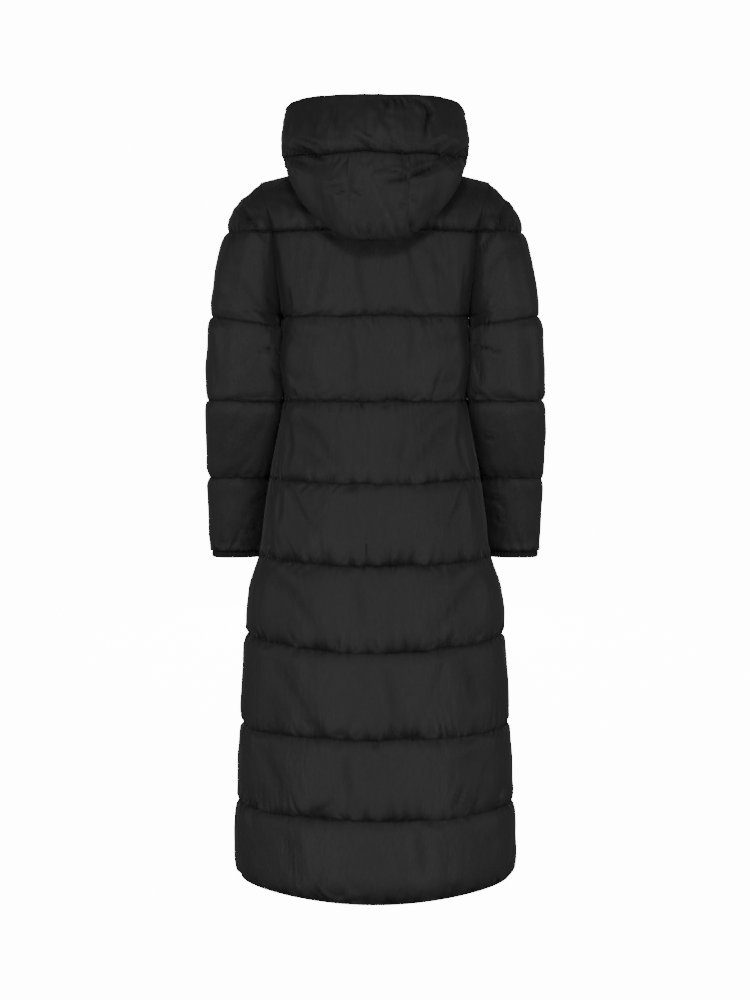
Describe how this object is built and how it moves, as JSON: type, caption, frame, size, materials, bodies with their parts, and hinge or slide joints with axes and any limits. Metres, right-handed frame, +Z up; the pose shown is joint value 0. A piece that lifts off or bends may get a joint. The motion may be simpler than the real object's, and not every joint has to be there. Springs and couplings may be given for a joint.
{
  "type": "long puffer coat",
  "caption": "Long hooded padded coat, quilted across in wide channels, filled out and empty inside, with the hood folded down.",
  "frame": {"origin": "middle of the neck opening, level with the sides of the neck", "axes": "+Z up, -Y the way the wearer faces, +X the wearer's left"},
  "size_m": [0.5914, 0.3682, 1.3465],
  "materials": {
    "padded_cloth": "satin, quilted",
    "binding": "matt, elastic",
    "zip": "satin",
    "zip_metal": "satin"
  },
  "bodies": {
    "coat": {"back_yoke": "padded_cloth", "back_panel": "padded_cloth", "front_left": "padded_cloth", "front_right": "padded_cloth", "sleeve_left": "padded_cloth", "sleeve_right": "padded_cloth", "hood_centre": "padded_cloth", "hood_side_left": "padded_cloth", "hood_side_right": "padded_cloth", "hood_band": "padded_cloth", "cuff_left": "binding", "cuff_right": "binding", "zip_chain": "zip", "zip_slider": "zip_metal"},
    "zip_pull": {"zip_pull": "zip_metal"}
  },
  "joints": [
    {"name": "pull_swing", "type": "hinge", "parent": "coat", "child": "zip_pull", "pos_m": [0, -0.11861, -0.06752], "axis": [-1, 0, 0], "range_deg": [0, 150]}
  ]
}
